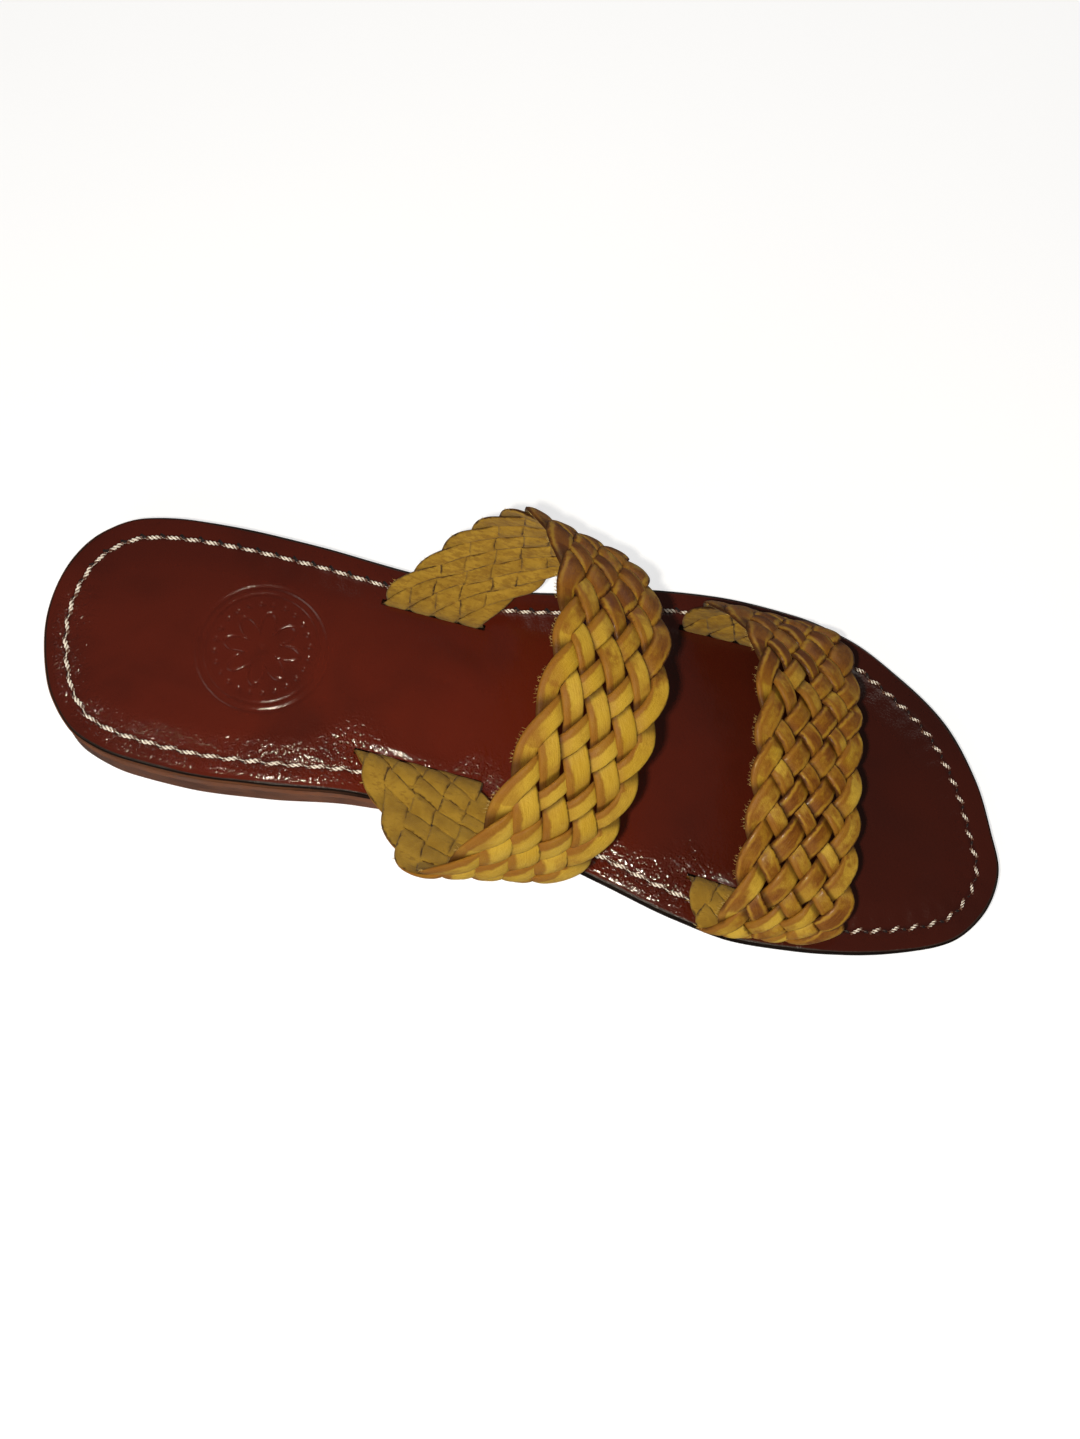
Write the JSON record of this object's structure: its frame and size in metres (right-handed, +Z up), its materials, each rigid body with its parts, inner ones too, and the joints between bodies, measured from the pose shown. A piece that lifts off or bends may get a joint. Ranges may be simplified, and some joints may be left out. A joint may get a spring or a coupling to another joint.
{
  "type": "leather sandal",
  "caption": "Flat open slide sandal for the left foot: broad plaited leather straps slotted into a stitched glossy footbed, on a thin outsole and a low heel wedge.",
  "frame": {"origin": "on the floor, under the middle of the heel's flat underside", "axes": "+Y along the shoe towards the toe, +X towards the big-toe side, +Z up"},
  "size_m": [0.0947, 0.254, 0.0629],
  "materials": {
    "mustard_leather": "smooth waxed plait, suede on the back",
    "oxblood_leather": "glossy, fine grain",
    "dark_leather": "dyed edge, satin",
    "russet_leather": "matt"
  },
  "bodies": {
    "root": {"footbed": "oxblood_leather", "outsole": "dark_leather", "heel_wedge": "russet_leather", "instep_strap": "mustard_leather", "toe_strap": "mustard_leather"}
  },
  "joints": []
}
